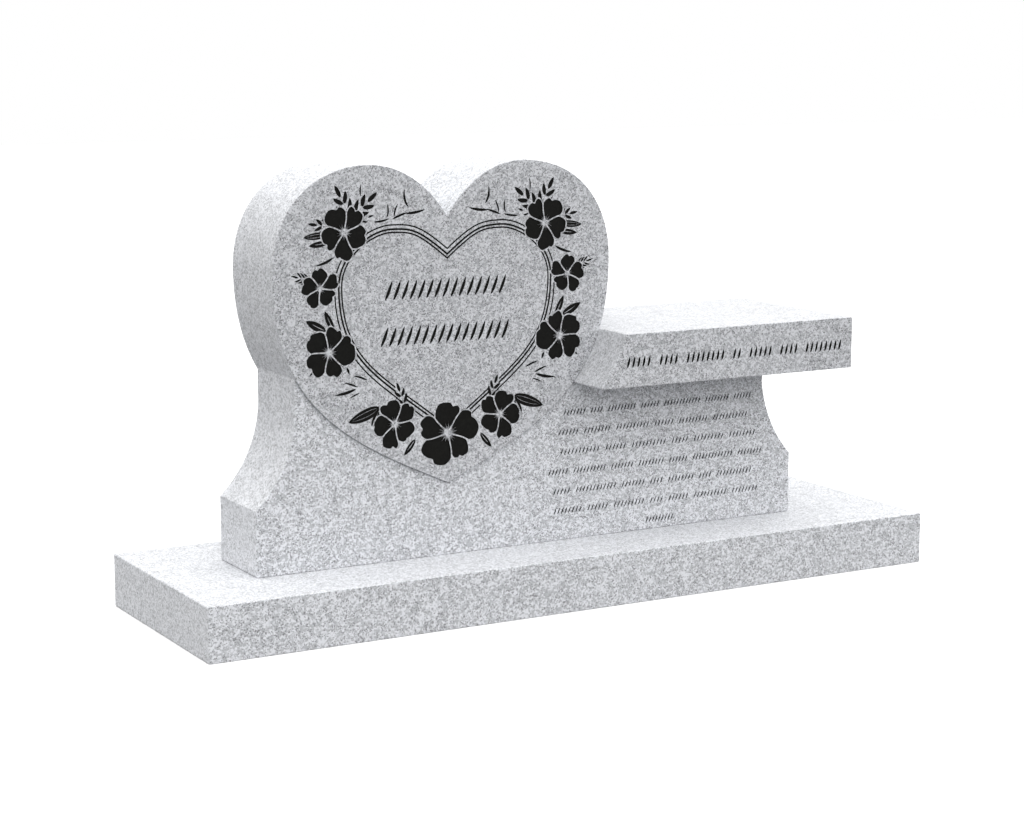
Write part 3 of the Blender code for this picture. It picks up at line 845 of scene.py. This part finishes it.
def make_base_slab(sizes):
    """The base slab: a rectangle with eased corners, carried from front to back."""
    left, low, right, high = BASE_LOW[0], BASE_LOW[2], BASE_HIGH[0], BASE_HIGH[2]
    outline = eased(np.array([(left, low), (right, low), (right, high), (left, high)]), 2 * sizes.arris)
    grounds = (("base", outline, BASE_HIGH[1], sizes.arris, STEELED),)
    drawing = Drawing()
    drawing.add("base", arris_rings(outline, sizes.arris))
    sheets = [stone_sheet(drawing, grounds, side, uncarved) for side in (-1, 1)]
    return closed_stone("base_stone", *sheets, STEELED, "base_slab", "base_granite", finishes())


def soft_light(name, place, target, size, energy):
    """A square area light at a place, turned to a target."""
    light = bpy.data.lights.new(name, "AREA")
    light.size = size
    light.energy = energy
    lamp = bpy.data.objects.new(name, light)
    x, y, z = np.subtract(target, place)
    lamp.location = place
    lamp.rotation_euler = (math.atan2(math.hypot(x, y), -z), 0, math.atan2(y, x) - math.pi / 2)
    bpy.context.scene.collection.objects.link(lamp)


def make_floor(stage):
    """A flat grid under the base slab: pale to the camera, and darker in the light it throws back."""
    grid = np.linspace(-1, 1, FLOOR_CELLS + 1) * stage.floor_reach
    x, y = (side.ravel() for side in np.meshgrid(grid, grid, indexing="ij"))
    cell, row = np.arange(FLOOR_CELLS), FLOOR_CELLS + 1
    corner = (row * cell[:, None] + cell).ravel()
    faces = np.stack([corner, corner + row, corner + row + 1, corner + 1], axis=1)
    mesh = bpy.data.meshes.new("studio_floor")
    mesh.from_pydata(np.stack([x, y, np.zeros_like(x)], axis=1).tolist(), [], faces.tolist())
    material, tree, shader, place = principled("studio_floor")
    noise = node(tree, "ShaderNodeTexNoise", {"Vector": place, "Scale": 3.0, "Detail": 3.0})
    lighter = (*(min(1.0, shade * 1.02) for shade in stage.floor_colour), 1)
    pale = mixed(tree, noise.outputs["Fac"], (*stage.floor_colour, 1), lighter)
    away = node(tree, "ShaderNodeVectorMath", {0: place}, operation="LENGTH").outputs["Value"]
    bounce = ranged(tree, away, *stage.bounce_reach, stage.floor_bounce, 0.0)
    seen = node(tree, "ShaderNodeLightPath").outputs["Is Camera Ray"]
    tree.links.new(mixed(tree, seen, bounce, pale), shader["Base Color"])
    shader["Roughness"].default_value = 0.9
    shader["Specular IOR Level"].default_value = 0.1
    mesh.materials.append(material)
    floor = bpy.data.objects.new("studio_floor", mesh)
    bpy.context.scene.collection.objects.link(floor)


def make_stage(stage):
    """The floor, two soft lights, a sky that the camera sees as white, and the camera.

    The sky is brightest overhead.
    """
    make_floor(stage)
    world = bpy.data.worlds.new("studio")
    bpy.context.scene.world = world
    world.use_nodes = True
    sky = world.node_tree
    way = node(sky, "ShaderNodeTexCoord").outputs["Generated"]
    lean = node(sky, "ShaderNodeVectorMath", {0: way, 1: stage.sky_lean}, operation="DOT_PRODUCT")
    glow = maths(sky, "ADD", lean.outputs["Value"], stage.sky)
    seen = node(sky, "ShaderNodeLightPath").outputs["Is Camera Ray"]
    strength = node(sky, "ShaderNodeMix", {0: seen, 2: glow, 3: 1.0}, data_type="FLOAT").outputs[0]
    background = sky.nodes["Background"].inputs
    background["Color"].default_value = (1, 1, 1, 1)
    sky.links.new(strength, background["Strength"])
    soft_light("above", (-0.6, -1.2, 3.4), (0, 0, 0.3), 3.6, stage.above)
    soft_light("front", (-3.2, -4.2, 1.6), (0, 0, 0.3), 2.4, stage.front)

    camera = bpy.data.cameras.new("camera")
    camera.lens = CAMERA_LENS
    camera.sensor_width = 36
    camera.sensor_fit = "HORIZONTAL"
    camera.clip_end = 60
    viewer = bpy.data.objects.new("camera", camera)
    viewer.location = CAMERA_PLACE
    viewer.rotation_euler = (math.radians(CAMERA_PITCH), 0, math.radians(CAMERA_HEADING))
    bpy.context.scene.collection.objects.link(viewer)
    bpy.context.scene.camera = viewer
    bpy.context.scene.view_settings.view_transform = "Standard"


def length(name, text, default, low=0.0, high=2.0):
    """A length in metres that a user can change."""
    return bpy.props.FloatProperty(
        name=name, description=text, default=default, min=low, max=high, unit="LENGTH", precision=4
    )


def colour(name, text, default):
    """A colour that a user can change."""
    return bpy.props.FloatVectorProperty(
        name=name, description=text, default=default, min=0, max=1, size=3, subtype="COLOR"
    )


class HeadstoneSizes(bpy.types.PropertyGroup):
    """Sizes of the stones' outlines and carving."""

    heart_width: length("Heart width", "Width of the heart across its widest part", 0.688)
    heart_height: length("Heart height", "Height from the heart's tip to the top of its lobes", 0.585)
    heart_cleft: length("Cleft", "Depth of the cleft between the lobes", 0.096)
    heart_proud: length("Heart proud", "How far the heart stands out from the pedestal", 0.0055)
    arris: length("Arris", "Radius of the stones' softened edges", 0.0015)
    carving_depth: length("Carving depth", "Depth of the blossoms, leaves and large strokes", 0.0018)
    line_depth: length("Line depth", "Depth of the border's lines and the small strokes", 0.0012)
    quirk: length("Quirk", "Width and depth of the fine groove along the heart's edge", 0.0014)
    petal_gap: length("Petal gap", "Stone left standing between two petals", 0.0024)
    vein: length("Vein", "Width of the stone lines left standing in a leaf", 0.0012)
    large_stroke: length("Large strokes", "Height of the strokes on the heart", 0.036)
    small_stroke: length("Small strokes", "Height of the strokes on the pedestal", 0.013)
    seat_stroke: length("Seat strokes", "Height of the strokes on the seat", 0.021)


class GraniteLook(bpy.types.PropertyGroup):
    """Colours and grain of the granite."""

    grain_size: length("Grain size", "Width of a crystal", 0.0034, 0.0005, 0.02)
    feldspar: colour("Feldspar", "Colour of the palest crystals", (0.68, 0.69, 0.72))
    quartz: colour("Quartz", "Colour of the grey crystals", (0.43, 0.44, 0.46))
    mica: colour("Mica", "Colour of the dark flecks", (0.23, 0.23, 0.24))
    fill: colour("Carving fill", "Colour of the dark filler in the carving", (0.004, 0.004, 0.0035))
    polished_tint: bpy.props.FloatProperty(
        name="Polished tint", description="Shade of the heart's polished faces", default=0.87,
        min=0.3, max=1.0, subtype="FACTOR",
    )
    honed_tint: bpy.props.FloatProperty(
        name="Honed tint", description="Shade of the honed seat", default=0.87,
        min=0.3, max=1.0, subtype="FACTOR",
    )


class StageLook(bpy.types.PropertyGroup):
    """The floor and the lights."""

    floor_reach: length("Floor reach", "Half the width of the floor", 16.0, 1.0, 40.0)
    floor_colour: colour("Floor colour", "Colour of the floor", (0.95, 0.95, 0.95))
    floor_bounce: bpy.props.FloatProperty(
        name="Floor bounce", description="Share of the light that the floor throws back onto the stones",
        default=0.28, min=0, max=1, subtype="FACTOR",
    )
    bounce_reach: bpy.props.FloatVectorProperty(
        name="Bounce reach", description="Distances over which the floor's bounce fades out",
        default=(0.9, 1.8), size=2, min=0, unit="LENGTH",
    )
    sky: bpy.props.FloatProperty(
        name="Sky", description="Mean strength of the light that comes in level", default=1.10, min=0
    )
    sky_lean: bpy.props.FloatVectorProperty(
        name="Sky lean", description="How much the sky strengthens towards each axis",
        default=(0.22, -0.24, 1.0), subtype="XYZ",
    )
    above: bpy.props.FloatProperty(
        name="Light above", description="Power of the soft light overhead", default=8.0, min=0
    )
    front: bpy.props.FloatProperty(
        name="Light in front", description="Power of the soft light in front", default=2.0, min=0
    )


class MakeHeartAndPedestal(bpy.types.Operator):
    """Makes the heart and its pedestal with the carved wreath"""

    bl_idname = "headstone.heart_and_pedestal"
    bl_label = "Heart and pedestal"

    def execute(self, context):
        make_heart_and_pedestal(context.scene.headstone_sizes)
        return {"FINISHED"}


class MakeSeatSlab(bpy.types.Operator):
    """Makes the seat slab with the row of strokes on its front"""

    bl_idname = "headstone.seat_slab"
    bl_label = "Seat slab"

    def execute(self, context):
        make_seat_slab(context.scene.headstone_sizes)
        return {"FINISHED"}


class MakeBaseSlab(bpy.types.Operator):
    """Makes the base slab"""

    bl_idname = "headstone.base_slab"
    bl_label = "Base slab"

    def execute(self, context):
        make_base_slab(context.scene.headstone_sizes)
        return {"FINISHED"}


class MakeStage(bpy.types.Operator):
    """Makes the floor, the lights and the camera"""

    bl_idname = "headstone.stage"
    bl_label = "Stage"

    def execute(self, context):
        make_stage(context.scene.headstone_stage)
        return {"FINISHED"}


class HeadstonePanel(bpy.types.Panel):
    """Buttons and settings for the headstone"""

    bl_idname = "VIEW3D_PT_headstone"
    bl_label = "Bench headstone"
    bl_space_type = "VIEW_3D"
    bl_region_type = "UI"
    bl_category = "Headstone"

    def draw(self, context):
        scene = context.scene
        for settings in (scene.headstone_sizes, scene.headstone_granite, scene.headstone_stage):
            box = self.layout.box()
            for name in settings.__annotations__:
                box.prop(settings, name)
        for operator in OPERATORS:
            self.layout.operator(operator.bl_idname)


OPERATORS = (MakeHeartAndPedestal, MakeSeatSlab, MakeBaseSlab, MakeStage)
SETTINGS = {
    "headstone_sizes": HeadstoneSizes,
    "headstone_granite": GraniteLook,
    "headstone_stage": StageLook,
}


def register():
    """Registers the settings, the operators and the panel."""
    for made in (*SETTINGS.values(), *OPERATORS, HeadstonePanel):
        bpy.utils.register_class(made)
    for name, kind in SETTINGS.items():
        setattr(bpy.types.Scene, name, bpy.props.PointerProperty(type=kind))


def unregister():
    """Removes what register adds."""
    for name in SETTINGS:
        delattr(bpy.types.Scene, name)
    for made in (HeadstonePanel, *OPERATORS, *SETTINGS.values()):
        bpy.utils.unregister_class(made)


def main():
    """Builds everything."""
    register()
    bpy.ops.headstone.heart_and_pedestal()
    bpy.ops.headstone.seat_slab()
    bpy.ops.headstone.base_slab()
    bpy.ops.headstone.stage()


if __name__ == "__main__":
    main()
